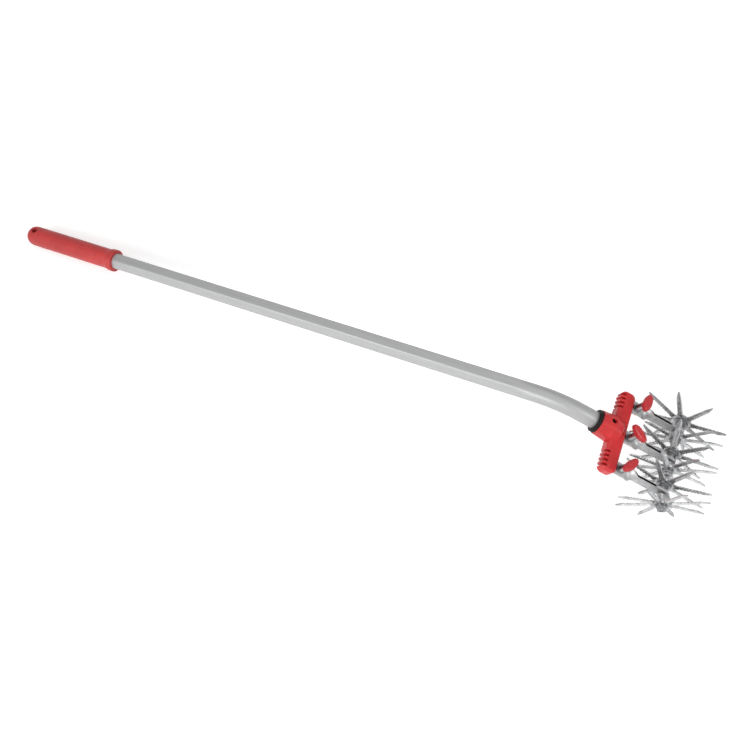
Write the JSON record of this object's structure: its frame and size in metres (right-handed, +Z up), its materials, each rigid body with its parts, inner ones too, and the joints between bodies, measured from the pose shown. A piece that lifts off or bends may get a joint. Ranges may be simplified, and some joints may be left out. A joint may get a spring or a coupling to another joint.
{
  "type": "garden cultivator",
  "caption": "Long-handled rotary garden cultivator: bent tube handle, moulded grip and T-shaped head, detachable twisted arms clamped by thumb knobs, free-spinning serrated star wheels.",
  "frame": {"origin": "on the ground under the middle of the tool as it lies on its star wheels and the end of its grip", "axes": "+X from the grip towards the star wheels, +Y to the tool's left, +Z up from the ground"},
  "size_m": [1.1257, 0.1683, 0.1214],
  "materials": {
    "tube_steel": "satin silver-grey lacquer",
    "grip_red": "fine matt moulded",
    "head_red": "satin moulded",
    "knob_red": "satin moulded",
    "collar_black": "matt moulded",
    "galvanised_steel": "bright galvanised",
    "zinc_steel": "zinc plated pressing",
    "fastener_steel": "zinc plated"
  },
  "bodies": {
    "tool": {"handle_tube": "tube_steel", "handle_grip": "grip_red", "socket_collar": "collar_black", "head_housing": "head_red", "head_screw": "fastener_steel", "captive_nuts": "fastener_steel"},
    "arm_left": {"arm_left": "galvanised_steel", "axle_left": "fastener_steel", "spacers_left": "fastener_steel", "axle_caps_left": "fastener_steel"},
    "arm_centre": {"arm_centre": "galvanised_steel", "axle_centre": "fastener_steel", "spacers_centre": "fastener_steel", "axle_caps_centre": "fastener_steel"},
    "arm_right": {"arm_right": "galvanised_steel", "axle_right": "fastener_steel", "spacers_right": "fastener_steel", "axle_caps_right": "fastener_steel"},
    "wheel_1": {"star_wheel_1": "zinc_steel", "wheel_hub_1": "fastener_steel"},
    "wheel_2": {"star_wheel_2": "zinc_steel", "wheel_hub_2": "fastener_steel"},
    "wheel_3": {"star_wheel_3": "zinc_steel", "wheel_hub_3": "fastener_steel"},
    "wheel_4": {"star_wheel_4": "zinc_steel", "wheel_hub_4": "fastener_steel"},
    "wheel_5": {"star_wheel_5": "zinc_steel", "wheel_hub_5": "fastener_steel"},
    "wheel_6": {"star_wheel_6": "zinc_steel", "wheel_hub_6": "fastener_steel"},
    "clamp_left": {"washer_left": "fastener_steel"},
    "thumbscrew_left": {"stud_left": "fastener_steel", "knob_left": "knob_red"},
    "clamp_centre": {"washer_centre": "fastener_steel"},
    "thumbscrew_centre": {"stud_centre": "fastener_steel", "knob_centre": "knob_red"},
    "clamp_right": {"washer_right": "fastener_steel"},
    "thumbscrew_right": {"stud_right": "fastener_steel", "knob_right": "knob_red"}
  },
  "joints": [
    {"name": "arm_left_slide", "type": "slide", "parent": "tool", "child": "arm_left", "axis": [0.9598, 0, -0.2805], "range_m": [0, 0.024]},
    {"name": "arm_centre_slide", "type": "slide", "parent": "tool", "child": "arm_centre", "axis": [0.9598, 0, -0.2805], "range_m": [0, 0.024]},
    {"name": "arm_right_slide", "type": "slide", "parent": "tool", "child": "arm_right", "axis": [0.9598, 0, -0.2805], "range_m": [0, 0.024]},
    {"name": "wheel_1_spin", "type": "hinge", "parent": "arm_left", "child": "wheel_1", "pos_m": [0.50373, 0.06542, 0.06058], "axis": [0.2484, 0.9659, -0.0726], "continuous": true},
    {"name": "wheel_2_spin", "type": "hinge", "parent": "arm_left", "child": "wheel_2", "pos_m": [0.50103, 0.0361, 0.06137], "axis": [-0.117, 0.9925, 0.0342], "continuous": true},
    {"name": "wheel_3_spin", "type": "hinge", "parent": "arm_centre", "child": "wheel_3", "pos_m": [0.50103, 0.0129, 0.06137], "axis": [0.117, 0.9925, -0.0342], "continuous": true},
    {"name": "wheel_4_spin", "type": "hinge", "parent": "arm_centre", "child": "wheel_4", "pos_m": [0.50103, -0.0129, 0.06137], "axis": [-0.117, 0.9925, 0.0342], "continuous": true},
    {"name": "wheel_5_spin", "type": "hinge", "parent": "arm_right", "child": "wheel_5", "pos_m": [0.50103, -0.0361, 0.06137], "axis": [0.117, 0.9925, -0.0342], "continuous": true},
    {"name": "wheel_6_spin", "type": "hinge", "parent": "arm_right", "child": "wheel_6", "pos_m": [0.50373, -0.06542, 0.06058], "axis": [-0.2484, 0.9659, 0.0726], "continuous": true},
    {"name": "clamp_left_lift", "type": "slide", "parent": "tool", "child": "clamp_left", "axis": [0.2805, 0, 0.9598], "range_m": [0, 0.003]},
    {"name": "knob_left_turn", "type": "hinge", "parent": "clamp_left", "child": "thumbscrew_left", "pos_m": [0.43616, 0.049, 0.08033], "axis": [0.2805, 0, 0.9598], "range_deg": [0, 1080]},
    {"name": "clamp_centre_lift", "type": "slide", "parent": "tool", "child": "clamp_centre", "axis": [0.2805, 0, 0.9598], "range_m": [0, 0.003]},
    {"name": "knob_centre_turn", "type": "hinge", "parent": "clamp_centre", "child": "thumbscrew_centre", "pos_m": [0.43616, 0, 0.08033], "axis": [0.2805, 0, 0.9598], "range_deg": [0, 1080]},
    {"name": "clamp_right_lift", "type": "slide", "parent": "tool", "child": "clamp_right", "axis": [0.2805, 0, 0.9598], "range_m": [0, 0.003]},
    {"name": "knob_right_turn", "type": "hinge", "parent": "clamp_right", "child": "thumbscrew_right", "pos_m": [0.43616, -0.049, 0.08033], "axis": [0.2805, 0, 0.9598], "range_deg": [0, 1080]}
  ],
  "couplings": [
    {"joint": "knob_left_turn", "follows": "clamp_left_lift", "rad_per_m": 6283.2},
    {"joint": "knob_centre_turn", "follows": "clamp_centre_lift", "rad_per_m": 6283.2},
    {"joint": "knob_right_turn", "follows": "clamp_right_lift", "rad_per_m": 6283.2}
  ]
}
